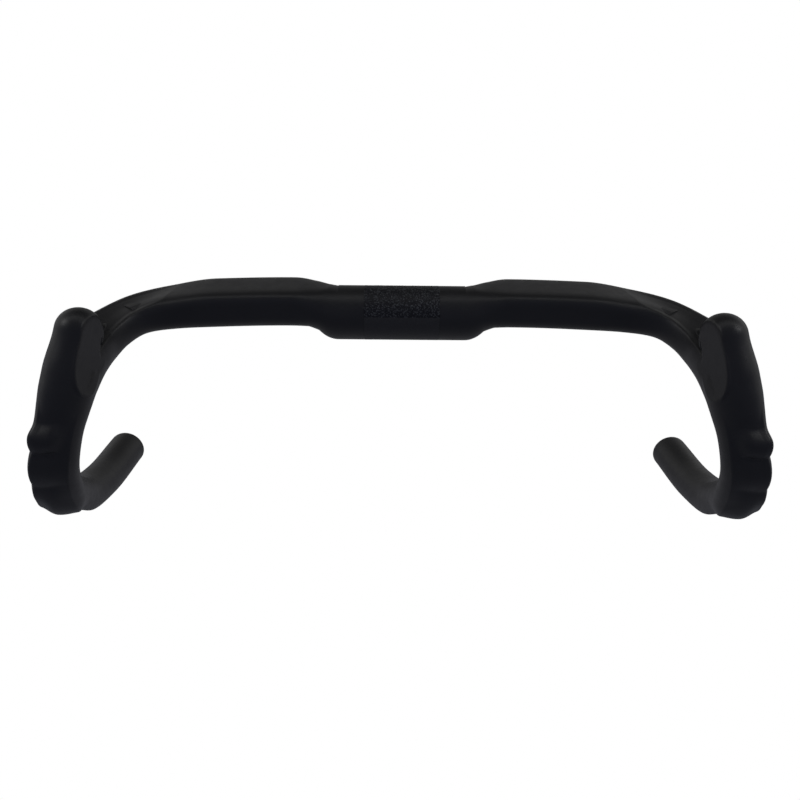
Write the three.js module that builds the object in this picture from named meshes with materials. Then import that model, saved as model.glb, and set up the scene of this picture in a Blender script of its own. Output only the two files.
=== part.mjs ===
// Drop handlebar, carbon, with flat wing tops, palm ramps and finger-grooved drops.
// Millimetres. +X runs along the clamp barrel to the rider's left, +Z is up,
// -Y is the forward side (where the hooks reach to). The origin is the middle of
// the stem clamp barrel.
import * as THREE from "three";
import { mergeVertices } from "three/addons/utils/BufferGeometryUtils.js";

// ---------------------------------------------------------------- dimensions
const CLAMP_RADIUS = 15.9; // 31.8 mm stem clamp barrel
const CLAMP_HALF_LENGTH = 37.0; // round part of the barrel, each side of the middle
const BAND_HALF_LENGTH = 21.5; // friction band round the middle of the barrel
const BAND_OUTER_RADIUS = 15.95;
const BAND_THICKNESS = 0.45;
const GRIP_RADIUS = 11.9; // 23.8 mm lever and drop tube
const DROP_END = 54.0; // the bar ends this far behind the clamp axis
const REACH = 75.4; // clamp axis to the foremost point of the centre line
const DROP = 117.8; // clamp axis down to the centre line of the drops
const WALL = 2.0; // shell wall
const BARREL_WALL = 3.0; // shell wall inside the clamp barrel
const GAP = 0.3; // clearance between bonded pieces
const JOINT_STATION = 6.5; // the drops are bonded to the tops between stations 6 and 7
const SPLICE_HALF_LENGTH = 15.0; // the hidden splice sleeve reaches this far each side
const SPLICE_WALL = 1.5;
const CORE_HALF_LENGTH = 35.0; // hidden reinforcing sleeve inside the barrel
const CORE_WALL = 1.6;
const PLUG_FLANGE = 2.0; // end plug: flange thickness
const PLUG_DEPTH = 20.0; // end plug: how far its shank reaches in
const SIDES = 24; // facets round each tube

// Stations of the right half: x, forward, up of the centre line, then the section's
// half widths (front/inner, rear/outer, top/outer curve, bottom/inner curve), the
// squareness of its upper and lower half (2 is an ellipse) and its tilt in degrees.
const STATIONS = [
  [0.0, 0.0, 0.0, 15.9, 15.9, 15.9, 15.9, 2.0, 2.0, 0],
  [CLAMP_HALF_LENGTH, 0.0, 0.0, 15.9, 15.9, 15.9, 15.9, 2.0, 2.0, 0],
  [45.0, -1.0, 1.7, 16.1, 16.6, 13.4, 12.2, 2.3, 2.1, -2.5],
  [53.5, -1.9, 3.7, 16.6, 17.5, 11.7, 10.6, 3.4, 2.5, -5.5],
  [64.0, -2.1, 4.5, 16.8, 17.7, 12.0, 10.6, 5.0, 2.8, -6],
  [109.0, -0.5, 3.8, 16.8, 17.7, 12.0, 10.6, 5.0, 2.8, -6],
  [133.5, 2.0, 2.2, 16.1, 16.8, 10.8, 10.1, 4.0, 2.7, -5],
  [153.5, 10.5, 0.2, 14.8, 15.0, 9.9, 10.6, 3.0, 2.4, -3],
  [163.6, 23.0, -3.6, 13.4, 13.5, 11.4, 12.4, 2.4, 2.2, -1],
  [168.4, 33.6, -7.0, 13.0, 13.1, 15.8, 14.6, 2.2, 2.0, 0],
  [170.2, 46.0, -9.6, 12.9, 13.0, 16.0, 15.6, 2.1, 2.0, 0],
  [172.0, 62.6, -19.6, 12.3, 12.5, 14.0, 14.4, 2.1, 2.0, 0],
  [177.8, 74.0, -41.4, 11.9, 11.9, 12.1, 12.2, 2.0, 2.0, 0],
  [183.0, REACH, -63.6, 11.9, 11.9, 12.0, 11.9, 2.0, 2.0, 0],
  [187.2, 65.9, -83.2, 11.9, 11.9, 13.0, 11.9, 2.0, 2.0, 0],
  [193.0, 47.2, -96.2, 12.0, 12.1, 13.2, 12.0, 2.0, 2.0, 0],
  [196.7, 25.4, -110.3, 12.2, 12.1, 12.6, 12.0, 2.0, 2.0, 0],
  [196.9, -7.0, -DROP, 11.9, 11.9, 11.9, 11.9, 2.0, 2.0, 0],
  [195.2, -(DROP_END - PLUG_FLANGE), -DROP, 11.9, 11.9, 11.9, 11.9, 2.0, 2.0, 0],
];
// Finger swells on the outer curve of the hook, by distance along the path: where each
// starts and ends, how high it is and where its crest lies between the two.
const SWELLS = [
  { from: 239.5, to: 256.0, height: 2.7, crest: 0.52 },
  { from: 255.0, to: 273.2, height: 1.7, crest: 0.5 },
  { from: 272.4, to: 314.0, height: 4.1, crest: 0.55 },
];
// Knuckle: the hook's upright tube ends in a dome that stands above the ramp behind it.
const KNUCKLE_TOP = new THREE.Vector3(165.6, -58.6, 6.4); // middle of the dome
const KNUCKLE_FOOT = new THREE.Vector3(177.8, -74.0, -41.4); // on the centre line
const KNUCKLE_RADIUS = 12.0;
const KNUCKLE_SPREAD = 1.5; // the tube is this much wider just below the dome

// ---------------------------------------------------------------- centre line
const arc = [0];
for (let i = 1; i < STATIONS.length; i++) {
  const a = STATIONS[i - 1],
    b = STATIONS[i];
  arc.push(arc[i - 1] + Math.hypot(b[0] - a[0], b[1] - a[1], b[2] - a[2]));
}
const LENGTH = arc[arc.length - 1];
const arcOf = (station) => {
  const i = Math.min(Math.floor(station), arc.length - 2);
  return arc[i] + (station - i) * (arc[i + 1] - arc[i]);
};

// Slopes of one column at the stations. From station `free` on they follow the
// neighbours, and before it they never run past them, so that the barrel stays straight.
function slopes(column, free) {
  const n = STATIONS.length,
    h = [],
    d = [],
    m = new Array(n).fill(0);
  for (let i = 0; i < n - 1; i++) {
    h.push(arc[i + 1] - arc[i]);
    d.push((STATIONS[i + 1][column] - STATIONS[i][column]) / h[i]);
  }
  m[0] = d[0];
  m[n - 1] = d[n - 2];
  for (let i = 1; i < n - 1; i++) {
    if (i >= free) m[i] = (d[i - 1] * h[i] + d[i] * h[i - 1]) / (h[i] + h[i - 1]);
    else if (d[i - 1] * d[i] > 0) {
      const w1 = 2 * h[i] + h[i - 1],
        w2 = h[i] + 2 * h[i - 1];
      m[i] = (w1 + w2) / (w1 / d[i - 1] + w2 / d[i]);
    }
  }
  return m;
}
const SLOPES = STATIONS[0].map((_, c) => slopes(c, c > 2 ? STATIONS.length : 7));

function at(s, column) {
  let i = 0;
  while (i < arc.length - 2 && arc[i + 1] <= s) i++;
  const h = arc[i + 1] - arc[i],
    t = (s - arc[i]) / h,
    t2 = t * t,
    t3 = t2 * t;
  return (
    (2 * t3 - 3 * t2 + 1) * STATIONS[i][column] +
    (t3 - 2 * t2 + t) * h * SLOPES[column][i] +
    (-2 * t3 + 3 * t2) * STATIONS[i + 1][column] +
    (t3 - t2) * h * SLOPES[column][i + 1]
  );
}
const centre = (s) => new THREE.Vector3(at(s, 0), -at(s, 1), at(s, 2));

// A frame that doesn't twist along the path, stepped finely once and then looked up.
const STEP = 0.5;
const FRAMES = (() => {
  const n = Math.ceil(LENGTH / STEP),
    out = [];
  const point = (k) => centre(Math.min(k * STEP, LENGTH));
  const tangent = (k) => {
    const s = Math.min(k * STEP, LENGTH);
    return centre(Math.min(s + 0.05, LENGTH))
      .sub(centre(Math.max(s - 0.05, 0)))
      .normalize();
  };
  let up = new THREE.Vector3(0, 0, 1),
    p = point(0),
    t = new THREE.Vector3(1, 0, 0);
  out.push({ t, up });
  for (let k = 1; k <= n; k++) {
    const q = point(k),
      tn = tangent(k);
    const v1 = q.clone().sub(p),
      c1 = v1.lengthSq();
    const upL = up.clone().addScaledVector(v1, (-2 / c1) * v1.dot(up));
    const tL = t.clone().addScaledVector(v1, (-2 / c1) * v1.dot(t));
    const v2 = tn.clone().sub(tL),
      c2 = v2.lengthSq();
    const next = c2 > 1e-12 ? upL.addScaledVector(v2, (-2 / c2) * v2.dot(upL)) : upL;
    next.addScaledVector(tn, -tn.dot(next)).normalize();
    out.push({ t: tn, up: next });
    up = next;
    p = q;
    t = tn;
  }
  return out;
})();
function frameAt(s) {
  const k = Math.min(s / STEP, FRAMES.length - 1),
    i = Math.min(Math.floor(k), FRAMES.length - 2),
    f = k - i;
  const t = FRAMES[i].t.clone().lerp(FRAMES[i + 1].t, f).normalize();
  const up = FRAMES[i].up.clone().lerp(FRAMES[i + 1].up, f);
  up.addScaledVector(t, -t.dot(up)).normalize();
  return { t, up, front: t.clone().cross(up) };
}

// ---------------------------------------------------------------- section
const step = (x, lo, hi) => {
  const u = Math.min(Math.max((x - lo) / (hi - lo), 0), 1);
  return u * u * (3 - 2 * u);
};
// The higher of two surfaces, rounded over a width of about k.
const higher = (a, b, k) => {
  const h = Math.max(k - Math.abs(a - b), 0) / k;
  return Math.max(a, b) + (h * h * k) / 4;
};
// Radius of the plain section at angle a: 0 is the front or inner side, a quarter turn is
// the top, which becomes the outer curve of the hook.
function plainRadius(s, a) {
  const c = Math.cos(a),
    q = Math.sin(a);
  const w = at(s, c >= 0 ? 3 : 4),
    h = at(s, q >= 0 ? 5 : 6),
    n = at(s, q >= 0 ? 7 : 8);
  return (Math.abs(c / w) ** n + Math.abs(q / h) ** n) ** (-1 / n);
}
// Distance from a point of the path along a ray to the far side of the knuckle.
function knuckleRadius(from, ray) {
  const axis = KNUCKLE_FOOT.clone().sub(KNUCKLE_TOP).normalize();
  const m = from.clone().sub(KNUCKLE_TOP);
  const ua = ray.dot(axis),
    ma = m.dot(axis);
  const a = ray.clone().addScaledVector(axis, -ua),
    n = m.clone().addScaledVector(axis, -ma);
  const a2 = a.lengthSq(),
    b2 = a.dot(n);
  let tube = 15,
    disc = 0;
  for (let i = 0; i < 4; i++) {
    const along = ma + tube * ua;
    const wide =
      KNUCKLE_RADIUS + KNUCKLE_SPREAD * step(along, 2, 22) * (1 - step(along, 30, 50));
    disc = b2 * b2 - a2 * (n.lengthSq() - wide * wide);
    tube = (-b2 + Math.sqrt(Math.max(disc, 0))) / Math.max(a2, 1e-6);
  }
  if (disc > 0 && ma + tube * ua >= 0) return tube;
  // A dome whose flank never gets steeper than this, so that it runs out on the ramp.
  const mid = -m.dot(ray);
  if (mid <= 0) return -1e3;
  const off = Math.sqrt(Math.max(m.lengthSq() - mid * mid, 0));
  const knee = 0.86 * KNUCKLE_RADIUS,
    fall = 1.7;
  const dome =
    off < knee
      ? Math.sqrt(KNUCKLE_RADIUS ** 2 - off * off)
      : Math.sqrt(KNUCKLE_RADIUS ** 2 - knee * knee) - fall * (off - knee);
  return mid + dome;
}
// Radius of the outer surface: the plain section, the knuckle and the finger swells.
function radius(s, a, from, ray) {
  let r = plainRadius(s, a);
  if (s > 176 && s < 246) {
    const joined = higher(r, knuckleRadius(from, ray), 2.5);
    r += (1 - step(s, 232, 246)) * (joined - r);
  }
  // The swells stand on the outer curve and fade out towards the inner side.
  const deg = ((THREE.MathUtils.radToDeg(a) + 540) % 360) - 180;
  const low = step(s, 278, 294);
  const side = step(deg, -5 - 45 * low, 65 - 5 * low) * (1 - step(deg, 95 - 35 * low, 158 - 33 * low));
  const slant = Math.min(Math.max(90 - deg, 0), 90) * 0.045;
  let swell = 0;
  for (const b of SWELLS) {
    const u = (s + slant - b.from) / (b.to - b.from);
    const f = u < b.crest ? 1 - (1 - u / b.crest) ** 2 : 1 - ((u - b.crest) / (1 - b.crest)) ** 2;
    swell = higher(swell, b.height * Math.max(f, -1), 0.6);
  }
  return r + (s > 225 && s < 330 ? swell * side : 0);
}
// A point of the right half. With an inset it lies that far under the plain section,
// without one it lies on the outer surface.
function pointAt(s, a, inset) {
  const { up, front } = frameAt(s);
  const tilt = THREE.MathUtils.degToRad(at(s, 9));
  const c = centre(s);
  const ray = new THREE.Vector3()
    .addScaledVector(front, Math.cos(a) * Math.cos(tilt) - Math.sin(a) * Math.sin(tilt))
    .addScaledVector(up, Math.cos(a) * Math.sin(tilt) + Math.sin(a) * Math.cos(tilt));
  const r = inset === 0 ? radius(s, a, c, ray) : plainRadius(s, a) - inset;
  return c.addScaledVector(ray, r);
}

// ---------------------------------------------------------------- solids
// A closed ring-shaped solid: a lathe whose profile closes on itself gives the grid, and
// each of its vertices is then put where `place(ring, angle)` says.
function shell(rings, sides, place) {
  const loop = Array.from({ length: rings + 1 }, (_, j) => {
    const u = (2 * Math.PI * (j % rings)) / rings;
    return new THREE.Vector2(3 + Math.cos(u), Math.sin(u));
  });
  const g = new THREE.LatheGeometry(loop, sides);
  const pos = g.getAttribute("position");
  for (let i = 0; i <= sides; i++)
    for (let j = 0; j <= rings; j++) {
      const angle = (((i % sides) + 0.5) * 2 * Math.PI) / sides;
      const p = place(j % rings, angle);
      pos.setXYZ(i * (rings + 1) + j, p.x, p.y, p.z);
    }
  return facingOut(g);
}
// Merges shared vertices and turns the faces so that they point out.
function facingOut(geometry) {
  geometry.deleteAttribute("normal");
  geometry.deleteAttribute("uv");
  const g = mergeVertices(geometry, 1e-4);
  const pos = g.getAttribute("position"),
    index = g.getIndex(),
    kept = [];
  const v = (k) => new THREE.Vector3().fromBufferAttribute(pos, k);
  let volume = 0;
  for (let i = 0; i < index.count; i += 3) {
    const [a, b, c] = [index.getX(i), index.getX(i + 1), index.getX(i + 2)];
    if (a === b || b === c || a === c) continue;
    kept.push(a, b, c);
    volume += v(a).dot(v(b).cross(v(c)));
  }
  if (volume < 0)
    for (let i = 0; i < kept.length; i += 3) [kept[i], kept[i + 1]] = [kept[i + 1], kept[i]];
  g.setIndex(kept);
  g.computeVertexNormals();
  return g;
}
const mirrored = (p, side) => (side < 0 ? new THREE.Vector3(-p.x, p.y, p.z) : p);

// A tube piece of the right or left half from arc length list `outer` (with its insets)
// and back along `inner`.
function tubePiece(side, outer, inner, insetOuter, insetInner) {
  const rings = [
    ...outer.map((s) => [s, insetOuter]),
    ...inner.map((s) => [s, insetInner]).reverse(),
  ];
  return shell(rings.length, SIDES, (j, a) => {
    const [s, inset] = rings[j];
    return mirrored(pointAt(s, a, typeof inset === "function" ? inset(s) : inset), side);
  });
}
const spread = (from, to, count) =>
  Array.from({ length: count }, (_, i) => from + ((to - from) * i) / (count - 1));

const sJoint = arcOf(JOINT_STATION);
const sBarrel = arcOf(1);
// Rings near the bonded joint, shared by the shells and the sleeve inside them.
const NEAR = [1, 2, 3].map((k) => (k * SPLICE_HALF_LENGTH) / 3);

// Middle piece: barrel, shoulders and both wing tops, one hollow moulding. The band sits
// in a shallow seat in the barrel.
const seat = BAND_OUTER_RADIUS - BAND_THICKNESS - GAP;
function tops() {
  const half = [
    [0, CLAMP_RADIUS - seat],
    [BAND_HALF_LENGTH + GAP, CLAMP_RADIUS - seat],
    [BAND_HALF_LENGTH + GAP + 0.05, 0],
    [sBarrel, 0],
    [40.2, 0],
    [arcOf(2), 0],
    [46.6, 0],
    [arcOf(3), 0],
    [54, 0],
    [arcOf(4), 0],
    [arcOf(5), 0],
    [119, 0],
    ...NEAR.map((d) => [sJoint - d, 0]).reverse(),
    [sJoint - GAP / 2, 0],
  ];
  const bore = [
    [0, BARREL_WALL],
    [sBarrel, BARREL_WALL],
    [arcOf(3), WALL],
    [arcOf(4), WALL],
    [arcOf(5), WALL],
    ...NEAR.map((d) => [sJoint - d, WALL]).reverse(),
    [sJoint - GAP / 2, WALL],
  ];
  const both = (list) => [
    ...list.slice(1).reverse().map(([s, i]) => [s, i, -1]),
    ...list.map(([s, i]) => [s, i, 1]),
  ];
  const rings = [...both(half), ...both(bore).reverse()];
  return shell(rings.length, SIDES, (j, a) => {
    const [s, inset, side] = rings[j];
    return mirrored(pointAt(s, a, inset), side);
  });
}
function drop(side) {
  const from = sJoint + GAP / 2;
  const outer = [
    from,
    ...NEAR.map((d) => sJoint + d),
    ...spread(arcOf(7.6), arcOf(9), 4),
    ...spread(arcOf(9), arcOf(11), 14).slice(1),
    ...spread(arcOf(11), arcOf(11.7), 5).slice(1),
    ...spread(arcOf(11.9), arcOf(14), 19),
    ...spread(arcOf(14), arcOf(16), 10).slice(1),
    ...spread(arcOf(16), arcOf(17), 6).slice(1),
    LENGTH,
  ];
  const inner = [
    from,
    ...NEAR.map((d) => sJoint + d),
    ...spread(arcOf(7.7), arcOf(9), 3),
    ...spread(arcOf(9), arcOf(12), 8).slice(1),
    ...spread(arcOf(13), arcOf(17), 9),
    LENGTH,
  ];
  return tubePiece(side, outer, inner, 0, WALL);
}
function splice(side) {
  const run = [...NEAR.map((d) => sJoint - d).reverse(), sJoint, ...NEAR.map((d) => sJoint + d)];
  return tubePiece(side, run, run, WALL + GAP, WALL + GAP + SPLICE_WALL);
}
// A ring round the barrel's axis from a closed profile of [radius, x].
function turned(profile, sides) {
  const g = new THREE.LatheGeometry(
    [...profile, profile[0]].map(([r, x]) => new THREE.Vector2(r, x)),
    sides,
    Math.PI / sides,
  );
  g.rotateZ(-Math.PI / 2);
  return facingOut(g);
}
function band() {
  const r = BAND_OUTER_RADIUS,
    i = r - BAND_THICKNESS,
    h = BAND_HALF_LENGTH;
  return turned([[i, -h], [r, -h], [r, h], [i, h]], 2 * SIDES);
}
function core() {
  const r = CLAMP_RADIUS - BARREL_WALL - GAP - 0.15,
    i = r - CORE_WALL,
    h = CORE_HALF_LENGTH;
  return turned([[i, -h], [r, -h], [r, h], [i, h]], SIDES);
}
// Push-in end plug: a domed flange on the tube's end and a cup-shaped shank with two ribs.
function plug(side) {
  const bore = (GRIP_RADIUS - WALL) * Math.cos(Math.PI / SIDES) - GAP;
  const profile = [
    [0, 0],
    [GRIP_RADIUS - 0.9, 0],
    [GRIP_RADIUS, 0.8],
    [GRIP_RADIUS, PLUG_FLANGE - GAP],
    [bore - 0.8, PLUG_FLANGE - GAP],
    [bore - 0.8, 6],
    [bore, 7],
    [bore - 0.8, 10],
    [bore - 0.8, 12],
    [bore, 13],
    [bore - 0.8, 16],
    [bore - 1.2, PLUG_DEPTH],
    [bore - 3.0, PLUG_DEPTH],
    [bore - 2.6, 3.5],
    [0, 3.5],
  ].map(([r, d]) => new THREE.Vector2(r, d));
  const g = new THREE.LatheGeometry(profile, SIDES);
  // The plug's axis follows the tube's last stretch.
  const end = centre(LENGTH),
    { t } = frameAt(LENGTH);
  const axis = mirrored(t.clone().negate(), side);
  const m = new THREE.Matrix4().makeRotationFromQuaternion(
    new THREE.Quaternion().setFromUnitVectors(new THREE.Vector3(0, 1, 0), axis),
  );
  g.applyMatrix4(m);
  const tip = mirrored(end.clone().addScaledVector(t, PLUG_FLANGE), side);
  g.translate(tip.x, tip.y, tip.z);
  return facingOut(g);
}

// ---------------------------------------------------------------- materials
const carbon = () =>
  new THREE.MeshStandardMaterial({ color: 0x1b1b1d, roughness: 0.42, metalness: 0 });
const grit = () =>
  new THREE.MeshStandardMaterial({ color: 0x101011, roughness: 0.85, metalness: 0 });
const bare = () =>
  new THREE.MeshStandardMaterial({ color: 0x2a2a2b, roughness: 0.6, metalness: 0 });
const plastic = () =>
  new THREE.MeshStandardMaterial({ color: 0x161617, roughness: 0.55, metalness: 0 });

// ---------------------------------------------------------------- assembly
const handlebar = new THREE.Group();
function add(name, geometry, material) {
  const mesh = new THREE.Mesh(geometry, material);
  mesh.name = name;
  handlebar.add(mesh);
}
add("centre_section", tops(), carbon());
add("clamp_friction_band", band(), grit());
add("clamp_core_sleeve", core(), bare());
for (const [name, side] of [
  ["left", 1],
  ["right", -1],
]) {
  add(name + "_drop", drop(side), carbon());
  add(name + "_splice_sleeve", splice(side), bare());
  add(name + "_end_plug", plug(side), plastic());
}

export default handlebar;
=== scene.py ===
import math

import bpy
import numpy as np
from mathutils import Matrix, Vector

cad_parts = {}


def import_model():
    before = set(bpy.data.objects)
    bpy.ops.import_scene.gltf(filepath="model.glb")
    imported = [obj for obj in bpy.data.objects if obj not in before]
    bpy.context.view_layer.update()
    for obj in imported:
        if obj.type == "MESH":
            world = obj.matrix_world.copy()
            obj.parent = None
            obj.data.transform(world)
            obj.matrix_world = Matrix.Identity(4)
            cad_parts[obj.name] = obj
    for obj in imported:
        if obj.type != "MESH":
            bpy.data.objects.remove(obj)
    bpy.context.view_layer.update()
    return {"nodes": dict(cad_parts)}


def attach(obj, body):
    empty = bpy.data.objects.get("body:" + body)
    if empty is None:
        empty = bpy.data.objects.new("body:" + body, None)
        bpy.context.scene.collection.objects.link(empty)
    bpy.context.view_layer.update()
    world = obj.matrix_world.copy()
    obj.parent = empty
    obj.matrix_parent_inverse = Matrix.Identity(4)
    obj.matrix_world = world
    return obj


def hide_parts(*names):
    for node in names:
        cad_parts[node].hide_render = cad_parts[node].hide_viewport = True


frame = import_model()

MM = 0.001

# ------------------------------------------------------------------ the bar's shape
# Stations of the left half (+X): x, forward, up of the centre line, half widths (front or
# inner side, rear or outer side, top or outer curve, bottom or inner curve), squareness of
# the upper and lower half, tilt in degrees. All in mm, the same path as the CAD part.
T = np.array([
    [0.0, 0.0, 0.0, 15.9, 15.9, 15.9, 15.9, 2.0, 2.0, 0],
    [37.0, 0.0, 0.0, 15.9, 15.9, 15.9, 15.9, 2.0, 2.0, 0],
    [45.0, -1.0, 1.7, 16.1, 16.6, 14.4, 12.2, 2.2, 2.1, -2.5],
    [53.5, -1.9, 3.7, 16.6, 17.5, 12.4, 10.6, 3.2, 2.5, -5.5],
    [64.0, -2.1, 4.5, 16.8, 17.7, 12.0, 10.6, 5.0, 2.8, -6],
    [109.0, -0.5, 3.8, 16.8, 17.7, 12.0, 10.6, 5.0, 2.8, -6],
    [133.5, 2.0, 2.2, 16.1, 16.8, 10.8, 10.1, 4.0, 2.7, -5],
    [153.5, 10.5, 0.2, 14.8, 15.0, 9.9, 10.6, 3.0, 2.4, -3],
    [163.6, 23.0, -3.6, 13.4, 13.5, 11.4, 12.4, 2.4, 2.2, -1],
    [168.4, 33.6, -7.0, 13.0, 13.1, 15.8, 14.6, 2.2, 2.0, 0],
    [170.2, 46.0, -9.6, 12.9, 13.0, 16.0, 15.6, 2.1, 2.0, 0],
    [172.0, 62.6, -19.6, 12.3, 12.5, 14.0, 14.4, 2.1, 2.0, 0],
    [177.8, 74.0, -41.4, 11.9, 11.9, 12.1, 12.2, 2.0, 2.0, 0],
    [183.0, 75.4, -63.6, 11.9, 11.9, 12.0, 11.9, 2.0, 2.0, 0],
    [187.2, 65.9, -83.2, 11.9, 11.9, 13.0, 11.9, 2.0, 2.0, 0],
    [193.0, 47.2, -96.2, 12.0, 12.1, 13.2, 12.0, 2.0, 2.0, 0],
    [196.7, 25.4, -110.3, 12.2, 12.1, 12.6, 12.0, 2.0, 2.0, 0],
    [196.9, -7.0, -117.8, 11.9, 11.9, 11.9, 11.9, 2.0, 2.0, 0],
    [195.2, -52.0, -117.8, 11.9, 11.9, 11.9, 11.9, 2.0, 2.0, 0],
])
N = len(T)
ARC = np.r_[0, np.cumsum(np.linalg.norm(np.diff(T[:, :3], axis=0), axis=1))]
LENGTH = ARC[-1]


def arcof(station):
    i = min(int(station), N - 2)
    return ARC[i] + (station - i) * (ARC[i + 1] - ARC[i])


def slopes(free):
    h = np.diff(ARC)[:, None]
    d = np.diff(T, axis=0) / h
    m = np.zeros_like(T)
    m[0], m[-1] = d[0], d[-1]
    for i in range(1, N - 1):
        for c in range(T.shape[1]):
            if i >= free[c]:
                m[i, c] = (d[i - 1, c] * h[i, 0] + d[i, c] * h[i - 1, 0]) / (h[i, 0] + h[i - 1, 0])
            elif d[i - 1, c] * d[i, c] > 0:
                w1, w2 = 2 * h[i, 0] + h[i - 1, 0], h[i, 0] + 2 * h[i - 1, 0]
                m[i, c] = (w1 + w2) / (w1 / d[i - 1, c] + w2 / d[i, c])
    return m


M = slopes([7] * 3 + [N] * (T.shape[1] - 3))


def at(q):
    q = np.asarray(q, float)
    i = np.clip(np.searchsorted(ARC, q, side="right") - 1, 0, N - 2)
    h = (ARC[i + 1] - ARC[i])[:, None]
    t = ((q - ARC[i]) / (ARC[i + 1] - ARC[i]))[:, None]
    return (
        (2 * t**3 - 3 * t**2 + 1) * T[i] + (t**3 - 2 * t**2 + t) * h * M[i]
        + (-2 * t**3 + 3 * t**2) * T[i + 1] + (t**3 - t**2) * h * M[i + 1]
    )


def frames():
    k = np.arange(0, int(math.ceil(LENGTH / 0.5)) + 1)
    q = np.minimum(k * 0.5, LENGTH)
    c = at(q)[:, :3]
    d = at(np.minimum(q + 0.05, LENGTH))[:, :3] - at(np.maximum(q - 0.05, 0))[:, :3]
    d /= np.linalg.norm(d, axis=1)[:, None]
    d[0] = [1, 0, 0]
    b = np.zeros_like(c)
    b[0] = [0, 0, 1]
    for i in range(len(c) - 1):
        v1 = c[i + 1] - c[i]
        c1 = v1 @ v1
        if c1 < 1e-12:
            b[i + 1] = b[i]
            continue
        rl = b[i] - 2 / c1 * (v1 @ b[i]) * v1
        tl = d[i] - 2 / c1 * (v1 @ d[i]) * v1
        v2 = d[i + 1] - tl
        c2 = v2 @ v2
        n = rl - (2 / c2 * (v2 @ rl) * v2 if c2 > 1e-12 else 0)
        n = n - d[i + 1] * (n @ d[i + 1])
        b[i + 1] = n / np.linalg.norm(n)
    return q, d, b


FQ, FD, FB = frames()


def basis(q):
    """Centre, front/inner axis and up/outer axis at arc lengths q, in (x, forward, up)."""
    v = at(q)
    d = np.stack([np.interp(q, FQ, FD[:, k]) for k in range(3)], 1)
    d /= np.linalg.norm(d, axis=1)[:, None]
    b = np.stack([np.interp(q, FQ, FB[:, k]) for k in range(3)], 1)
    b -= d * (b * d).sum(1)[:, None]
    b /= np.linalg.norm(b, axis=1)[:, None]
    return v, -np.cross(d, b), b


def smin(a, b, k):
    """The lower of two surfaces, rounded over a width of about k."""
    h = np.maximum(k - np.abs(a - b), 0) / k
    return np.minimum(a, b) - h * h * k / 4


def smax(a, b, k):
    return -smin(-a, -b, k)


def step(x, lo, hi):
    u = np.clip((x - lo) / (hi - lo), 0, 1)
    return u * u * (3 - 2 * u)


def lookup(q, xs, ys):
    """Smooth curve through a short table."""
    xs, ys = np.asarray(xs, float), np.asarray(ys, float)
    h, d = np.diff(xs), np.diff(ys) / np.diff(xs)
    m = np.zeros_like(ys)
    m[0], m[-1] = d[0], d[-1]
    for i in range(1, len(xs) - 1):
        if d[i - 1] * d[i] > 0:
            w1, w2 = 2 * h[i] + h[i - 1], h[i] + 2 * h[i - 1]
            m[i] = (w1 + w2) / (w1 / d[i - 1] + w2 / d[i])
    q = np.clip(q, xs[0], xs[-1])
    i = np.clip(np.searchsorted(xs, q, side="right") - 1, 0, len(xs) - 2)
    t = (q - xs[i]) / h[i]
    return ((2 * t**3 - 3 * t**2 + 1) * ys[i] + (t**3 - 2 * t**2 + t) * h[i] * m[i]
            + (-2 * t**3 + 3 * t**2) * ys[i + 1] + (t**3 - t**2) * h[i] * m[i + 1])


def base_radius(v, th):
    """Superelliptic section, th is 0 on the front/inner side and 90 degrees on the top/outer."""
    c, s = np.cos(th), np.sin(th)
    w = np.where(c >= 0, v[:, 3:4], v[:, 4:5])
    h = np.where(s >= 0, v[:, 5:6], v[:, 6:7])
    n = np.where(s >= 0, v[:, 7:8], v[:, 8:9])
    return (np.abs(c / w) ** n + np.abs(s / h) ** n) ** (-1 / n)


# Palm ramp: a shallow facet across the top of each bend, from a crease in the wing top to a
# rounded tongue on the inner side. Where its two edges run round the section, by arc length.
RAMP_S = [126, 134, 138.5, 144.5, 157, 166, 175.5, 187.5, 196.5, 203, 210]
RAMP_IN = [60, 50, 43, 35, 28, 25, 19, 13.5, 11, 10, 10]
RAMP_OUT_S = [126, 140, 160, 172, 185, 198, 210]
RAMP_OUT = [132, 128, 124, 120, 114, 108, 104]
PALM_DIP = 1.1
# Knuckle: the hook's upright tube ends in a dome that stands above the ramp behind it.
KNUCKLE = np.array([165.6, 58.6, 6.4])
KNUCKLE_FOOT = np.array([177.8, 74.0, -41.4])
KNUCKLE_R, KNUCKLE_SPREAD = 12.0, 1.5
# Thumb scoop: an oval on the inner side of the ramp, nearly flat, hollow along its length.
# Its outline is (arc length, angle in degrees) round the section.
SCOOP_AT = np.array([160.6, 65.0, -9.4])
SCOOP_N = np.array([-0.978, 0.208, 0.0])
SCOOP_HOLLOW, SCOOP_OUT = 0.0080, -0.1
SCOOP_EDGE = [(202.5, 58), (205, 49), (207, 48), (209, 50), (211.5, 52), (214.5, 52), (218, 49), (221, 44),
              (223, 35), (224.5, 22), (224, 14), (221.5, 8), (218, 2), (214.5, -8), (210, -19), (205.5, -26),
              (201, -21), (199, -11), (198, 3), (199.3, 14), (199.8, 25), (199.6, 40), (199, 56), (200, 68)]
# Finger swells on the outer curve: where each starts and ends along the arc, its height.
SWELLS = [(238.5, 254.8, 4.6, 0.52), (254.2, 273.0, 1.8, 0.5), (272.4, 314.0, 4.1, 0.55)]


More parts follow.
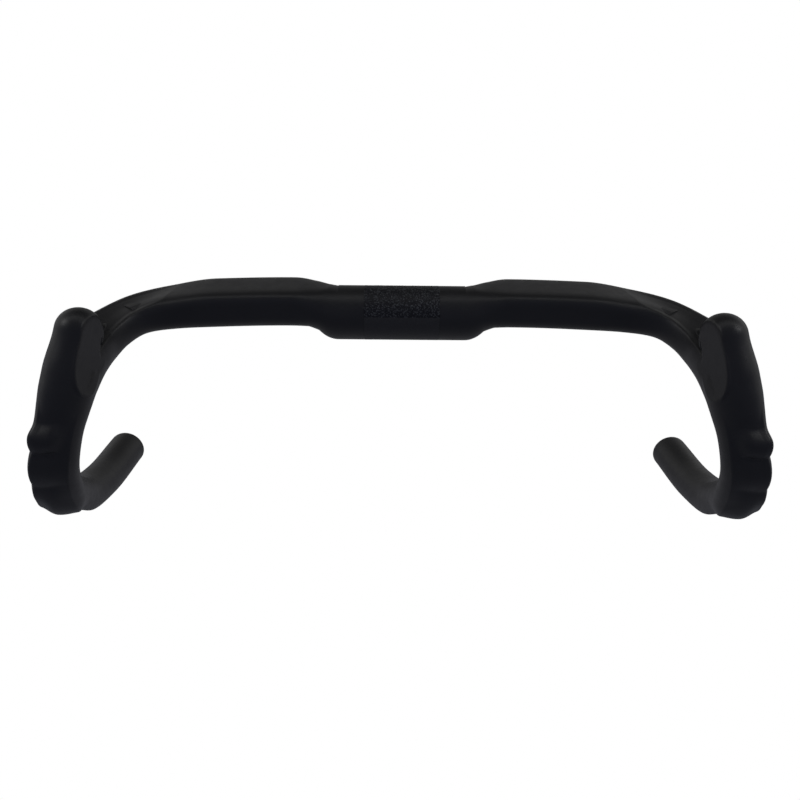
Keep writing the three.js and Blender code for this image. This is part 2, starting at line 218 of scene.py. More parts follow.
def knuckle_radius(c, ray):
    """Distance along each ray from the path to the knuckle's far side."""
    axis = KNUCKLE_FOOT - KNUCKLE
    axis = axis / np.linalg.norm(axis)
    m = c - KNUCKLE
    ua = (ray * axis).sum(-1)
    ma = (m * axis).sum(-1)
    a = ray - ua[..., None] * axis
    n = m - ma[..., None] * axis
    a2, b2, tube = (a * a).sum(-1), (a * n).sum(-1), 15.0
    for _ in range(4):
        # the tube widens a little below the dome
        along = ma + tube * ua
        wide = KNUCKLE_R + KNUCKLE_SPREAD * step(along, 2, 22) * (1 - step(along, 30, 50))
        disc = b2 * b2 - a2 * ((n * n).sum(-1) - wide**2)
        tube = (-b2 + np.sqrt(np.maximum(disc, 0))) / np.maximum(a2, 1e-6)
    on_tube = (disc > 0) & (ma + tube * ua >= 0)
    mid = -(m * ray).sum(-1)
    off = np.sqrt(np.maximum((m * m).sum(-1) - mid * mid, 0))
    # a sphere whose flank never gets steeper than this, so that it runs out on the ramp
    knee, fall = 0.86 * KNUCKLE_R, 1.7
    dome = np.where(off < knee, np.sqrt(np.maximum(KNUCKLE_R**2 - off**2, 0)),
                    math.sqrt(KNUCKLE_R**2 - knee**2) - fall * (off - knee))
    ball = np.where(mid > 0, mid + dome, -1e3)
    return np.where(on_tube, np.maximum(tube, -1e3), ball)


def edge_distance(q, deg):
    """Signed distance in mm to the scoop's outline, laid flat; negative inside."""
    e = np.array(SCOOP_EDGE, float) * [1, 0.227]
    for _ in range(2):
        nxt = np.roll(e, -1, axis=0)
        e = np.stack([0.75 * e + 0.25 * nxt, 0.25 * e + 0.75 * nxt], 1).reshape(-1, 2)
    px, py = np.broadcast_arrays(q, deg * 0.227)
    best, inside = np.full(px.shape, 1e9), np.zeros(px.shape, bool)
    for (x1, y1), (x2, y2) in zip(e, np.roll(e, -1, axis=0)):
        t = np.clip(((px - x1) * (x2 - x1) + (py - y1) * (y2 - y1)) / ((x2 - x1) ** 2 + (y2 - y1) ** 2), 0, 1)
        best = np.minimum(best, (px - x1 - t * (x2 - x1)) ** 2 + (py - y1 - t * (y2 - y1)) ** 2)
        cross = (y1 > py) != (y2 > py)
        inside ^= cross & (px < (x2 - x1) * (py - y1) / (y2 - y1 if y2 != y1 else 1e-9) + x1)
    return np.where(inside, -1, 1) * np.sqrt(best)


def scoop_depth(c, ray):
    """Distance along each ray from the path to the scoop's surface, by halving."""
    c = c - SCOOP_AT
    lo, hi = np.zeros(ray.shape[:-1]), np.full(ray.shape[:-1], 45.0)
    down = np.array([0, 0, -1.0])
    for _ in range(18):
        mid = (lo + hi) / 2
        on = c + ray * mid[..., None]
        fall = (on * down).sum(-1)
        sag = fall * np.abs(fall) * np.where(fall > 0, 1, -0.55)
        over = (on * SCOOP_N).sum(-1) - SCOOP_OUT - SCOOP_HOLLOW * sag > 0
        lo, hi = np.where(over, lo, mid), np.where(over, mid, hi)
    return lo


def surface(q, th, detail=True, scoop=True):
    """Points of the outer surface on a grid of arc length by angle, in (x, forward, up)."""
    q = np.asarray(q, float)
    v, a_axis, b_axis = basis(q)
    th = np.asarray(th, float)[None, :]
    r = base_radius(v, th)
    tilt = np.radians(v[:, 9:10])
    ca, sa = np.cos(th) * np.cos(tilt) - np.sin(th) * np.sin(tilt), np.cos(th) * np.sin(tilt) + np.sin(th) * np.cos(tilt)
    ray = a_axis[:, None] * ca[..., None] + b_axis[:, None] * sa[..., None]
    if detail:
        # palm ramp
        i_edge = np.radians(lookup(q, RAMP_S, RAMP_IN))[:, None]
        o_edge = np.radians(lookup(q, RAMP_OUT_S, RAMP_OUT))[:, None]
        ri, ro = base_at(v, i_edge), base_at(v, o_edge)
        x1, y1, x2, y2 = ri * np.cos(i_edge), ri * np.sin(i_edge), ro * np.cos(o_edge), ro * np.sin(o_edge)
        nx, ny = y2 - y1, x1 - x2
        ln = np.hypot(nx, ny)
        nx, ny = nx / ln, ny / ln
        d = nx * x1 + ny * y1
        den = nx * np.cos(th) + ny * np.sin(th)
        line = np.where(den > 0.05, d / np.maximum(den, 0.05), 1e3)
        deg = (np.degrees(th) + 180) % 360 - 180
        crease = np.interp(deg, [-40, 43, 73, 129, 180], [143, 138.5, 134, 129.5, 126])
        w = 1 - (1 - np.clip((q[:, None] - crease) / 30, 0, 1)) ** 2
        cut = smin(r, line, 0.8)
        r = r - w * np.maximum(r - cut, 0)
        # the ramp starts at a clean crease and dips a little beyond it
        d = q[:, None] - crease
        dip = (1 - (1 - np.clip(d / 22, 0, 1)) ** 2) * (1 - step(d, 44, 74))
        i_deg, o_deg = np.degrees(i_edge), np.degrees(o_edge)
        r = r - PALM_DIP * dip * step(deg, i_deg - 4, i_deg + 8) * (1 - step(deg, o_deg - 6, o_deg + 12))
        # knuckle
        near = (q > 176) & (q < 246)
        horn = knuckle_radius(v[:, None, :3], ray)
        if scoop:
            # the scoop's surface runs up through the knuckle's inner side
            horn = np.where(near[:, None], np.minimum(horn, scoop_depth(v[:, None, :3], ray) + 0.05), horn)
        fade = 1 - step(q, 232, 246)[:, None]
        joined = smax(r, horn, 1.4)
        r = np.where(near[:, None], r + fade * (joined - r), r)
        # finger swells: each rises slowly and ends in a short undercut
        first, low, back = 1 - step(q, 252, 258)[:, None], step(q, 278, 294)[:, None], step(q, 268, 288)[:, None]
        side = step(deg, -5 + 15 * first - 45 * low, 65 - 5 * low) * (
            1 - step(deg, 95 - 5 * first - 38 * back, 158 - 20 * first - 35 * back))
        slant = np.clip(90 - deg, 0, 90) * 0.045
        lobes = np.zeros_like(r)
        for lo, hi, height, crest in SWELLS:
            u = (q[:, None] + slant - lo) / (hi - lo)
            lead = 1 - (1 - u / crest) ** 2
            if lo < 240:
                lead = np.where(u > 0, step(u, 0, crest), lead)
            f = np.where(u < crest, lead, 1 - ((u - crest) / (1 - crest)) ** 2)
            lobes = smax(lobes, height * np.maximum(f, -1), 0.6)
        r = r + lobes * side
        if scoop:
            near = np.nonzero((q > 186) & (q < 232))[0]
            if len(near):
                qn = r[near]
                cut = scoop_depth(v[near, None, :3], ray[near])
                rise = 0.8 * step(q[near], 204, 208)[:, None]
                rear = 1 - step(deg, -5, 50)
                limit = -14 + 13.0 * rear * step(q[near], 200, 214)[:, None]
                change = smax(np.minimum(cut - qn, rise), limit, 2.6)
                inside = step(-edge_distance(q[near][:, None], deg), -0.3 - 0.9 * rear, 0.7 + 0.6 * rear)
                r[near] = qn + change * inside
    return v[:, None, :3] + ray * r[..., None]


def base_at(v, th):
    return base_radius(v, th)


def to_row(p, side=1):
    """(x, forward, up) in mm to the row frame in metres, on the left (+1) or right (-1) half."""
    return np.stack([p[..., 0] * side, -p[..., 1], p[..., 2]], -1) * MM


# ------------------------------------------------------------------ mesh helpers
def make_mesh(name, verts, faces, normals=None, attrs=None):
    me = bpy.data.meshes.new(name)
    me.from_pydata([tuple(p) for p in verts.tolist()], [], faces)
    me.polygons.foreach_set("use_smooth", [True] * len(me.polygons))
    for key, values in (attrs or {}).items():
        layer = me.attributes.new(key, "FLOAT", "POINT")
        layer.data.foreach_set("value", np.asarray(values, np.float32))
    me.validate()
    me.update()
    if normals is not None:
        me.normals_split_custom_set([tuple(x) for x in normals])
    ob = bpy.data.objects.new(name, me)
    bpy.context.scene.collection.objects.link(ob)
    return ob


def tube(name, outer, inner, outer_normals, inner_normals):
    """A closed tube wall from an outer and an inner grid of rings (both along the same way)."""
    no, m = outer.shape[:2]
    ni = inner.shape[0]
    verts = np.concatenate([outer.reshape(-1, 3), inner.reshape(-1, 3)])
    faces, kinds = [], []
    j = np.arange(m)
    k = (j + 1) % m
    for i in range(no - 1):
        a, b = i * m, (i + 1) * m
        faces += np.stack([a + j, a + k, b + k, b + j], 1).tolist()
    n_out = len(faces)
    o = no * m
    for i in range(ni - 1):
        a, b = o + i * m, o + (i + 1) * m
        faces += np.stack([a + j, b + j, b + k, a + k], 1).tolist()
    n_in = len(faces)
    # the rims
    faces += np.stack([j, o + j, o + k, k], 1).tolist()
    e, f = (no - 1) * m, o + (ni - 1) * m
    faces += np.stack([e + j, e + k, f + k, f + j], 1).tolist()
    vn = np.concatenate([outer_normals.reshape(-1, 3), inner_normals.reshape(-1, 3)])
    # one sign test for the whole piece: the faces have to point out
    q = verts[np.array(faces[: n_out])]
    fn = np.cross(q[:, 2] - q[:, 0], q[:, 3] - q[:, 1])
    if (fn * vn[np.array(faces[:n_out])[:, 0]]).sum() < 0:
        faces = [f[::-1] for f in faces]
    loops = []
    for idx, fc in enumerate(faces):
        if idx < n_in:
            loops += [vn[v] for v in fc]
        else:
            p = verts[fc]
            n = np.cross(p[2] - p[0], p[3] - p[1])
            n /= np.linalg.norm(n) + 1e-12
            loops += [n] * 4
    return make_mesh(name, verts, faces, loops)


def grid_normals(p, centre):
    """Outward normals of a grid of rings, closed round the section."""
    dq = np.gradient(p, axis=0)
    dt = np.roll(p, -1, axis=1) - np.roll(p, 1, axis=1)
    n = np.cross(dq, dt)
    n /= np.linalg.norm(n, axis=-1)[..., None] + 1e-12
    flip = (n * (p - centre[:, None])).sum(-1).mean() < 0
    return -n if flip else n


# ------------------------------------------------------------------ carbon shell
AROUND = 176
TH = (np.arange(AROUND) + 0.5) * 2 * math.pi / AROUND
# finer spacing round the upper front edge and the inner side, where the creases are
TH = TH - 0.28 * np.sin(TH - math.radians(40)) * 0.6
S_JOINT = arcof(6.5)
SEAT_R, SEAT_X, BAND_X, BAND_R = 15.2, 21.8, 21.7, 15.95
WALL, BARREL_WALL = 2.0, 3.0


def rows(a, b, spacing):
    return np.linspace(a, b, max(2, int(round((b - a) / spacing)) + 1))


q_tops = np.unique(np.concatenate([
    rows(SEAT_X + 0.06, 37, 1.2), rows(37, 52, 0.6), rows(52, 125, 1.2), rows(125, S_JOINT, 0.55)]))
q_drop = np.unique(np.concatenate([
    rows(S_JOINT, 236, 0.55), rows(236, 292, 0.4), rows(292, 360, 1.0), rows(360, LENGTH, 1.6)]))
q_all = np.concatenate([q_tops, q_drop[1:]])
p_all = surface(q_all, TH)
c_all = at(q_all)[:, :3]
n_all = grid_normals(p_all, c_all)


def inner_wall(q, wall):
    """The bore follows the plain section, a wall's thickness in."""
    v, a_axis, b_axis = basis(q)
    th = TH[None, :]
    r = base_radius(v, th) - wall[:, None]
    r = np.minimum(r, (np.linalg.norm(surface(q, TH) - v[:, None, :3], axis=-1) - 3.2))
    tilt = np.radians(v[:, 9:10])
    x, y = r * np.cos(th), r * np.sin(th)
    p = v[:, None, :3] + a_axis[:, None] * (x * np.cos(tilt) - y * np.sin(tilt))[..., None] \
        + b_axis[:, None] * (x * np.sin(tilt) + y * np.cos(tilt))[..., None]
    return p, -grid_normals(p, v[:, :3])


def row_normals(n, side):
    return np.stack([n[..., 0] * side, -n[..., 1], n[..., 2]], -1)


def tops():
    k = len(q_tops)
    right = to_row(p_all[:k])
    rn = row_normals(n_all[:k], 1)
    # the seat of the friction band: a shallow step round the barrel
    ring = np.stack([np.zeros_like(TH), np.cos(TH), np.sin(TH)], -1)
    seat_x = [(SEAT_X, SEAT_R), (SEAT_X + 0.01, 15.9)]
    seat = np.stack([np.stack([np.full_like(TH, x), r * np.cos(TH), r * np.sin(TH)], -1) for x, r in seat_x])
    seat_n = np.stack([ring, ring])
    half_p = np.concatenate([to_row(seat), right])
    half_n = np.concatenate([row_normals(seat_n, 1), rn])
    mirror = half_p[::-1] * np.array([-1, 1, 1])
    mirror_n = half_n[::-1] * np.array([-1, 1, 1])
    outer = np.concatenate([mirror, half_p])
    normals = np.concatenate([mirror_n, half_n])
    q_in = np.unique(np.concatenate([rows(0.0, 37, 6), rows(37, 60, 2), rows(60, 120, 3), rows(120, S_JOINT, 1)]))
    wall = np.interp(q_in, [0, 37, 50.6], [BARREL_WALL, BARREL_WALL, WALL])
    p, n = inner_wall(q_in, wall)
    ip, inn = to_row(p), row_normals(n, 1)
    inner = np.concatenate([ip[:0:-1] * np.array([-1, 1, 1]), ip])
    inner_n = np.concatenate([inn[:0:-1] * np.array([-1, 1, 1]), inn])
    return tube("tops_shell", outer, inner, normals, inner_n)


def drop(side, name):
    k = len(q_tops) - 1
    outer, on = to_row(p_all[k:], side), row_normals(n_all[k:], side)
    q_in = np.unique(np.concatenate([rows(S_JOINT, 250, 1), rows(250, 290, 2), rows(290, LENGTH, 4)]))
    p, n = inner_wall(q_in, np.full(len(q_in), WALL))
    return tube(name, outer, to_row(p, side), on, row_normals(n, side))


# ------------------------------------------------------------------ materials
def new_material(name):
    mat = bpy.data.materials.new(name)
    mat.use_nodes = True
    nt = mat.node_tree
    bsdf = next(n for n in nt.nodes if n.type == "BSDF_PRINCIPLED")
    return mat, nt, bsdf


def link(nt, a, b):
    nt.links.new(a, b)


def ramp_node(nt, stops):
    r = nt.nodes.new("ShaderNodeValToRGB")
    e = r.color_ramp.elements
    e[0].position, e[0].color = stops[0]
    e[1].position, e[1].color = stops[-1]
    for pos, col in stops[1:-1]:
        x = e.new(pos)
        x.color = col
    return r


def grey(v, warm=0.0):
    return (v * (1 + warm), v, v * (1 - warm), 1)


def noise(nt, coord, scale, detail=3.0, rough=0.5):
    n = nt.nodes.new("ShaderNodeTexNoise")
    n.inputs["Scale"].default_value = scale
    n.inputs["Detail"].default_value = detail
    n.inputs["Roughness"].default_value = rough
    link(nt, coord, n.inputs["Vector"])
    return n


def carbon_material():
    """Satin lacquered carbon: near black, a fine matte grain in the lacquer and faint handling marks."""
    mat, nt, bsdf = new_material("satin_carbon")
    co = nt.nodes.new("ShaderNodeTexCoord").outputs["Object"]
    tone = noise(nt, co, 60, 4, 0.55)
    col = ramp_node(nt, [(0.3, (0.0145, 0.0145, 0.0155, 1)), (0.7, (0.0180, 0.0180, 0.0190, 1))])
    link(nt, tone.outputs["Fac"], col.inputs["Fac"])
    link(nt, col.outputs["Color"], bsdf.inputs["Base Color"])
    wear = noise(nt, co, 220, 5, 0.6)
    rough = nt.nodes.new("ShaderNodeMapRange")
    rough.inputs["From Min"].default_value, rough.inputs["From Max"].default_value = 0.3, 0.7
    rough.inputs["To Min"].default_value, rough.inputs["To Max"].default_value = 0.38, 0.46
    link(nt, wear.outputs["Fac"], rough.inputs["Value"])
    link(nt, rough.outputs["Result"], bsdf.inputs["Roughness"])
    bsdf.inputs["IOR"].default_value = 1.5
    bsdf.inputs["Specular IOR Level"].default_value = 0.5
    fine = noise(nt, co, 2600, 2, 0.6)
    peel = noise(nt, co, 420, 2, 0.5)
    b1 = nt.nodes.new("ShaderNodeBump")
    b1.inputs["Strength"].default_value = 0.25
    b1.inputs["Distance"].default_value = 0.00006
    link(nt, fine.outputs["Fac"], b1.inputs["Height"])
    b2 = nt.nodes.new("ShaderNodeBump")
    b2.inputs["Strength"].default_value = 0.25
    b2.inputs["Distance"].default_value = 0.00012
    link(nt, peel.outputs["Fac"], b2.inputs["Height"])
    link(nt, b1.outputs["Normal"], b2.inputs["Normal"])
    link(nt, b2.outputs["Normal"], bsdf.inputs["Normal"])
    return mat


def simple_material(name, low, high, scale, rough, bump_scale, bump):
    mat, nt, bsdf = new_material(name)
    co = nt.nodes.new("ShaderNodeTexCoord").outputs["Object"]
    n = noise(nt, co, scale, 4, 0.6)
    col = ramp_node(nt, [(0.3, low), (0.7, high)])
    link(nt, n.outputs["Fac"], col.inputs["Fac"])
    link(nt, col.outputs["Color"], bsdf.inputs["Base Color"])
    bsdf.inputs["Roughness"].default_value = rough
    b = nt.nodes.new("ShaderNodeBump")
    b.inputs["Strength"].default_value = 0.4
    b.inputs["Distance"].default_value = bump
    link(nt, noise(nt, co, bump_scale, 3, 0.6).outputs["Fac"], b.inputs["Height"])
    link(nt, b.outputs["Normal"], bsdf.inputs["Normal"])
    return mat


def band_material():
    """Friction coat: dark coarse grit on the upper half, fine grey grain below, with painted glints: the tops of
    the grains are painted paler.
    """
    mat, nt, bsdf = new_material("friction_coat")
    grain = nt.nodes.new("ShaderNodeAttribute")
    grain.attribute_name = "grain"
    coarse = nt.nodes.new("ShaderNodeAttribute")
    coarse.attribute_name = "coarse"
    # painted glints: on the coarse grit the grain tops are painted pale, standing in for the lamps glinting off
    # them
    high = ramp_node(nt, [(0.0, (0.003, 0.0034, 0.006, 1)), (0.34, (0.005, 0.0055, 0.0085, 1)),
                          (0.52, (0.045, 0.048, 0.053, 1)), (1.0, (0.095, 0.099, 0.104, 1))])
    link(nt, grain.outputs["Fac"], high.inputs["Fac"])
    # fainter painted glints: the fine grain's tops are painted paler over the coat's own grey
    low = ramp_node(nt, [(0.0, (0.030, 0.030, 0.031, 1)), (0.6, (0.042, 0.042, 0.043, 1)), (1.0, (0.075, 0.075, 0.077, 1))])
    link(nt, grain.outputs["Fac"], low.inputs["Fac"])
    mix = nt.nodes.new("ShaderNodeMix")
    mix.data_type = "RGBA"
    link(nt, coarse.outputs["Fac"], mix.inputs["Factor"])
    link(nt, low.outputs["Color"], mix.inputs["A"])
    link(nt, high.outputs["Color"], mix.inputs["B"])
    link(nt, mix.outputs["Result"], bsdf.inputs["Base Color"])
    bsdf.inputs["Roughness"].default_value = 0.5
    bsdf.inputs["Specular IOR Level"].default_value = 0.38
    co = nt.nodes.new("ShaderNodeTexCoord").outputs["Object"]
    b = nt.nodes.new("ShaderNodeBump")
    b.inputs["Strength"].default_value = 0.5
    b.inputs["Distance"].default_value = 0.00008
    link(nt, noise(nt, co, 3000, 3, 0.7).outputs["Fac"], b.inputs["Height"])
    link(nt, b.outputs["Normal"], bsdf.inputs["Normal"])
    return mat


# ------------------------------------------------------------------ friction band
def grains(u, v, cell, rng_seed, spread):
    """Height 0..1 of rounded grains scattered one to a cell over (u, v) in mm; u wraps."""
    rng = np.random.default_rng(rng_seed)
    nu = int(round(2 * math.pi * BAND_R / cell))
    nv = int(math.ceil(2 * BAND_X / cell)) + 4
    jx, jy = rng.random((nu, nv)), rng.random((nu, nv))
    size = 0.25 + 0.75 * rng.random((nu, nv)) ** 1.7
    cu, cv = u / cell, v / cell + 2
    iu, iv = np.floor(cu).astype(int), np.floor(cv).astype(int)
    out = np.zeros_like(u)
    for a in (-1, 0, 1):
        for b in (-1, 0, 1):
            gu, gv = (iu + a) % nu, np.clip(iv + b, 0, nv - 1)
            dx = cu - (iu + a + jx[gu, gv])
            dy = cv - (iv + b + jy[gu, gv])
            d2 = (dx * dx + dy * dy) / spread**2
            out = np.maximum(out, size[gu, gv] * np.clip(1 - d2, 0, 1))
    return out


def band():
    around, along = 420, 190
    a = np.arange(around) * 2 * math.pi / around
    x = np.linspace(-BAND_X, BAND_X, along)
    A, X = np.meshgrid(a, x)  # angle 0 is the front, 90 degrees the top
    u, v = A * BAND_R, X + BAND_X
    g = np.maximum(grains(u, v, 0.95, 11, 0.62), 0.8 * grains(u, v, 0.6, 12, 0.6))
    f = grains(u, v, 0.5, 13, 0.6)
    upper = ((A > math.radians(6)) & (A < math.radians(186))).astype(float)
    fade = np.clip((BAND_X - np.abs(X)) / 0.5, 0, 1)
    h = (upper * (0.16 * g - 0.07) + (1 - upper) * (0.05 * f - 0.03)) * fade
    r = BAND_R - 0.02 + np.clip(h, -0.2, 0.12)
    outer = np.stack([X, -r * np.cos(A), r * np.sin(A)], -1) * MM
    ri = SEAT_R + 0.3
    inner = np.stack([X, -ri * np.cos(A), ri * np.sin(A)], -1) * MM
    m = around
    verts = np.concatenate([outer.reshape(-1, 3), inner.reshape(-1, 3)])
    o = along * m
    j = np.arange(m)
    k = (j + 1) % m
    faces = []
    for i in range(along - 1):
        p, q = i * m, (i + 1) * m
        faces += np.stack([p + j, p + k, q + k, q + j], 1).tolist()
        faces += np.stack([o + p + j, o + q + j, o + q + k, o + p + k], 1).tolist()
    faces += np.stack([j, o + j, o + k, k], 1).tolist()
    e = (along - 1) * m
    faces += np.stack([e + j, e + k, o + e + k, o + e + j], 1).tolist()
    p = verts[np.array(faces[0])]
    n = np.cross(p[2] - p[0], p[3] - p[1])
    if n @ (p[0] * np.array([0, 1, 1])) < 0:
        faces = [f[::-1] for f in faces]
    # grain height, which the coat's shader turns into painted glints on the grain tops
    colour = np.where(upper > 0, g, f)
    grain = np.concatenate([colour.reshape(-1), np.zeros(o)])
    coarse = np.concatenate([upper.reshape(-1), np.zeros(o)])
    return make_mesh("friction_band", verts, faces, None, {"grain": grain, "coarse": coarse})


# ------------------------------------------------------------------ end plugs
def lathe(name, profile, segments, axis_matrix, fillet=None):
    """A closed lathe from (radius, depth) points that start and end on the axis."""
    pts = np.array(profile, float)
    a = np.arange(segments) * 2 * math.pi / segments
    verts, faces = [], []
    start = len(verts)
    verts.append((0, 0, pts[0, 1]))
    rings = []
    for r, d in pts[1:-1]:
        rings.append(len(verts))
        verts += [(r * math.cos(x), r * math.sin(x), d) for x in a]
    end = len(verts)
    verts.append((0, 0, pts[-1, 1]))
    m = segments
    for j in range(m):
        k = (j + 1) % m
        faces.append((start, rings[0] + k, rings[0] + j))
        faces.append((end, rings[-1] + j, rings[-1] + k))
    for r0, r1 in zip(rings[:-1], rings[1:]):
        for j in range(m):
            k = (j + 1) % m
            faces.append((r0 + j, r0 + k, r1 + k, r1 + j))
    v = np.array(verts) * MM
    ob = make_mesh(name, v, faces)
    ob.data.transform(axis_matrix)
    bm_fix(ob)
    return ob


def bm_fix(ob):
    import bmesh
    bm = bmesh.new()
    bm.from_mesh(ob.data)
    bmesh.ops.recalc_face_normals(bm, faces=bm.faces)
    if bm.calc_volume(signed=True) < 0:
        bmesh.ops.reverse_faces(bm, faces=bm.faces)
    bm.to_mesh(ob.data)
    bm.free()
    ob.data.update()


def fillet(points, radius, steps=4):
    """Rounds the inner corners of an open profile."""
    out = [points[0]]
    for i in range(1, len(points) - 1):
        p, q, s = (np.array(points[k], float) for k in (i - 1, i, i + 1))
        a, b = p - q, s - q
        la, lb = np.linalg.norm(a), np.linalg.norm(b)
        t = min(radius, 0.45 * la, 0.45 * lb)
        for w in np.linspace(0, 1, steps + 1):
            out.append(tuple((1 - w) ** 2 * (q + a / la * t) + 2 * w * (1 - w) * q + w * w * (q + b / lb * t)))
    out.append(points[-1])
    return out


def plug(side, name):
    bore = (11.9 - WALL) - 0.25
    flange = [(0, 0.25), (3.0, 0.25), (3.6, 0.0), (9.6, 0.0), (11.35, 0.35), (11.85, 1.1), (11.85, 1.95),
              (bore - 0.8, 1.95), (bore - 0.8, 6), (bore, 7), (bore - 0.8, 10), (bore - 0.8, 12), (bore, 13),
              (bore - 0.8, 16), (bore - 1.2, 20), (bore - 3.0, 20), (bore - 2.6, 3.5), (0, 3.5)]
    end = to_row(at([LENGTH])[:, :3], side)[0]
    v, a_axis, b_axis = basis(np.array([LENGTH]))
    t = np.cross(b_axis[0], -a_axis[0])
    t = FD[-1]
    t_row = Vector((t[0] * side, -t[1], t[2])).normalized()
    tip = Vector(end) + t_row * 2.0 * MM
    m = Matrix.Translation(tip) @ (-t_row).to_track_quat("Z", "Y").to_matrix().to_4x4()
    return lathe(name, fillet(flange, 0.45), 96, m)


# ------------------------------------------------------------------ assembly
carbon = carbon_material()
grit = band_material()
bare = simple_material("bare_laminate", (0.016, 0.016, 0.017, 1), (0.03, 0.03, 0.031, 1), 900, 0.55, 1600, 0.0001)
plastic = simple_material("moulded_plastic", (0.011, 0.011, 0.012, 1), (0.015, 0.015, 0.016, 1), 300, 0.5, 2400, 0.00006)


def finish_piece(ob, mat, slot, *nodes):
    ob.data.materials.clear()
    ob.data.materials.append(mat)
    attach(ob, "root")
    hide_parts(*nodes)
    return ob


finish_piece(tops(), carbon, "carbon_shell", "centre_section")
finish_piece(drop(1, "left_drop_shell"), carbon, "carbon_shell", "left_drop")
finish_piece(drop(-1, "right_drop_shell"), carbon, "carbon_shell", "right_drop")
finish_piece(band(), grit, "friction_band", "clamp_friction_band")
finish_piece(plug(1, "left_plug"), plastic, "plug_plastic", "left_end_plug")
finish_piece(plug(-1, "right_plug"), plastic, "plug_plastic", "right_end_plug")
for node in ("clamp_core_sleeve", "left_splice_sleeve", "right_splice_sleeve"):
    ob = frame["nodes"][node]
    ob.data.materials.clear()
    ob.data.materials.append(bare)

# ------------------------------------------------------------------ studio
scene = bpy.context.scene
scene.view_settings.view_transform = "Standard"
scene.view_settings.look = "None"


def floor():
    me = bpy.data.meshes.new("floor")
    s, z = 6.0, -0.1302
    me.from_pydata([(-s, -s, z), (s, -s, z), (s, s, z), (-s, s, z)], [], [(0, 1, 2, 3)])
    ob = bpy.data.objects.new("floor", me)
    scene.collection.objects.link(ob)
    mat, nt, bsdf = new_material("floor_white")
    bsdf.inputs["Base Color"].default_value = (0.85, 0.85, 0.87, 1)
    bsdf.inputs["Roughness"].default_value = 0.9
    out = next(n for n in nt.nodes if n.type == "OUTPUT_MATERIAL")
    em = nt.nodes.new("ShaderNodeEmission")
    em.inputs["Color"].default_value = (1, 1, 1, 1)
    em.inputs["Strength"].default_value = 1.0
    lp = nt.nodes.new("ShaderNodeLightPath")
    mix = nt.nodes.new("ShaderNodeMixShader")
    link(nt, lp.outputs["Is Camera Ray"], mix.inputs[0])
    em2 = nt.nodes.new("ShaderNodeEmission")
    # away from the camera's white, the table is a soft pool of light that falls off to the front
    geo = nt.nodes.new("ShaderNodeNewGeometry")
    sep = nt.nodes.new("ShaderNodeSeparateXYZ")
    link(nt, geo.outputs["Position"], sep.inputs[0])
    fall = nt.nodes.new("ShaderNodeMapRange")
    fall.interpolation_type = "SMOOTHSTEP"
    fall.inputs["From Min"].default_value, fall.inputs["From Max"].default_value = -0.20, 0.06
    link(nt, sep.outputs["Y"], fall.inputs["Value"])
    pool = ramp_node(nt, [(0.0, (0.100, 0.106, 0.140, 1)), (1.0, (0.225, 0.225, 0.245, 1))])
    link(nt, fall.outputs["Result"], pool.inputs["Fac"])
    link(nt, pool.outputs["Color"], em2.inputs["Color"])
    em2.inputs["Strength"].default_value = 1.0
    link(nt, em2.outputs[0], mix.inputs[1])
    link(nt, em.outputs[0], mix.inputs[2])
    link(nt, mix.outputs[0], out.inputs["Surface"])
    me.materials.append(mat)


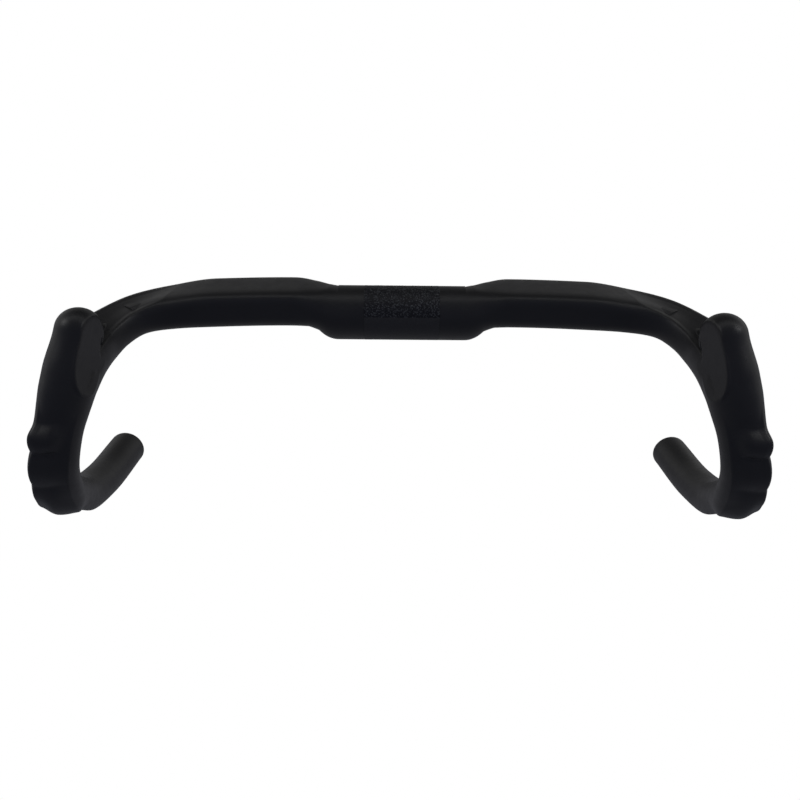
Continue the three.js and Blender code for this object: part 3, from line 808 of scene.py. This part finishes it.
def world():
    w = bpy.data.worlds.new("studio")
    scene.world = w
    w.use_nodes = True
    nt = w.node_tree
    nt.nodes.clear()
    out = nt.nodes.new("ShaderNodeOutputWorld")
    co = nt.nodes.new("ShaderNodeTexCoord").outputs["Generated"]
    sep = nt.nodes.new("ShaderNodeSeparateXYZ")
    link(nt, co, sep.inputs[0])
    # brightness by height at the back (y > 0) and at the front
    back = ramp_node(nt, [(0.0, grey(0.22)), (0.5, grey(0.24)), (0.76, grey(0.22)), (0.88, grey(0.03)), (1.0, grey(0.02))])
    front = ramp_node(nt, [(0.0, (0.080, 0.088, 0.125, 1)), (0.5, (0.112, 0.120, 0.168, 1)), (0.75, (0.108, 0.114, 0.155, 1)), (1.0, (0.055, 0.058, 0.072, 1))])
    height = nt.nodes.new("ShaderNodeMapRange")
    height.inputs["From Min"].default_value, height.inputs["From Max"].default_value = -1, 1
    link(nt, sep.outputs["Z"], height.inputs["Value"])
    link(nt, height.outputs["Result"], back.inputs["Fac"])
    link(nt, height.outputs["Result"], front.inputs["Fac"])
    face = nt.nodes.new("ShaderNodeMapRange")
    face.interpolation_type = "SMOOTHSTEP"
    face.inputs["From Min"].default_value, face.inputs["From Max"].default_value = -0.35, 0.1
    link(nt, sep.outputs["Y"], face.inputs["Value"])
    # the back wall is brighter towards its two ends
    away = nt.nodes.new("ShaderNodeMath")
    away.operation = "ABSOLUTE"
    link(nt, sep.outputs["X"], away.inputs[0])
    ends = nt.nodes.new("ShaderNodeMapRange")
    ends.interpolation_type = "SMOOTHSTEP"
    ends.inputs["From Min"].default_value, ends.inputs["From Max"].default_value = 0.2, 0.75
    ends.inputs["To Min"].default_value, ends.inputs["To Max"].default_value = 1.0, 1.9
    link(nt, away.outputs[0], ends.inputs["Value"])
    wall = nt.nodes.new("ShaderNodeVectorMath")
    wall.operation = "SCALE"
    link(nt, back.outputs["Color"], wall.inputs[0])
    link(nt, ends.outputs["Result"], wall.inputs["Scale"])
    mix = nt.nodes.new("ShaderNodeMix")
    mix.data_type = "RGBA"
    link(nt, face.outputs["Result"], mix.inputs["Factor"])
    link(nt, front.outputs["Color"], mix.inputs["A"])
    link(nt, wall.outputs[0], mix.inputs["B"])
    soft = nt.nodes.new("ShaderNodeBackground")
    link(nt, mix.outputs["Result"], soft.inputs["Color"])
    soft.inputs["Strength"].default_value = 1.0
    white = nt.nodes.new("ShaderNodeBackground")
    white.inputs["Color"].default_value = (1, 1, 1, 1)
    lp = nt.nodes.new("ShaderNodeLightPath")
    sh = nt.nodes.new("ShaderNodeMixShader")
    link(nt, lp.outputs["Is Camera Ray"], sh.inputs[0])
    link(nt, soft.outputs[0], sh.inputs[1])
    link(nt, white.outputs[0], sh.inputs[2])
    link(nt, sh.outputs[0], out.inputs["Surface"])


def softbox(name, direction, distance, size, watts, target=(0, -0.03, -0.03)):
    li = bpy.data.lights.new(name, "AREA")
    li.shape = "RECTANGLE"
    li.size, li.size_y = size
    li.energy = watts
    ob = bpy.data.objects.new(name, li)
    d = Vector(direction).normalized()
    ob.location = Vector(target) + d * distance
    ob.rotation_mode = "QUATERNION"
    ob.rotation_quaternion = d.to_track_quat("Z", "Y")
    scene.collection.objects.link(ob)
    return ob


floor()
world()
softbox("softbox_left", (-0.80, -0.22, 0.60), 1.3, (0.24, 0.34), 1.3)
softbox("softbox_right", (0.8, -0.26, 0.60), 1.3, (0.24, 0.34), 1.3)
softbox("softbox_top", (0.0, -0.15, 1.0), 1.3, (2.2, 0.42), 2.0)

# ------------------------------------------------------------------ camera
# Seen from the front and a little above, level with the bar's middle.
ELEV, YAW, ROLL, DIST = math.radians(23.3), math.radians(0.54), math.radians(0.66), 433.5
FOCAL = 1.692 * DIST  # in 800ths of the picture's side
KX, KY = 401.6, 312.8  # where the clamp's centre falls
right0 = Vector((math.cos(YAW), -math.sin(YAW), 0))
up0 = Vector((math.sin(YAW) * math.sin(ELEV), math.cos(YAW) * math.sin(ELEV), math.cos(ELEV)))
ahead = Vector((math.sin(YAW) * math.cos(ELEV), math.cos(YAW) * math.cos(ELEV), -math.sin(ELEV)))
right = right0 * math.cos(ROLL) + up0 * math.sin(ROLL)
up = -right0 * math.sin(ROLL) + up0 * math.cos(ROLL)
cam = bpy.data.cameras.new("camera")
cam.lens = FOCAL / 800 * 36
cam.sensor_width = 36
cam.clip_start, cam.clip_end = 0.01, 50
cam_ob = bpy.data.objects.new("camera", cam)
scene.collection.objects.link(cam_ob)
where = -(KX - 400) / 1.692 * right - (400 - KY) / 1.692 * up - DIST * ahead
cam_ob.matrix_world = Matrix.Translation(where * MM) @ Matrix((right, up, -ahead)).transposed().to_4x4()
scene.camera = cam_ob

bpy.context.view_layer.update()
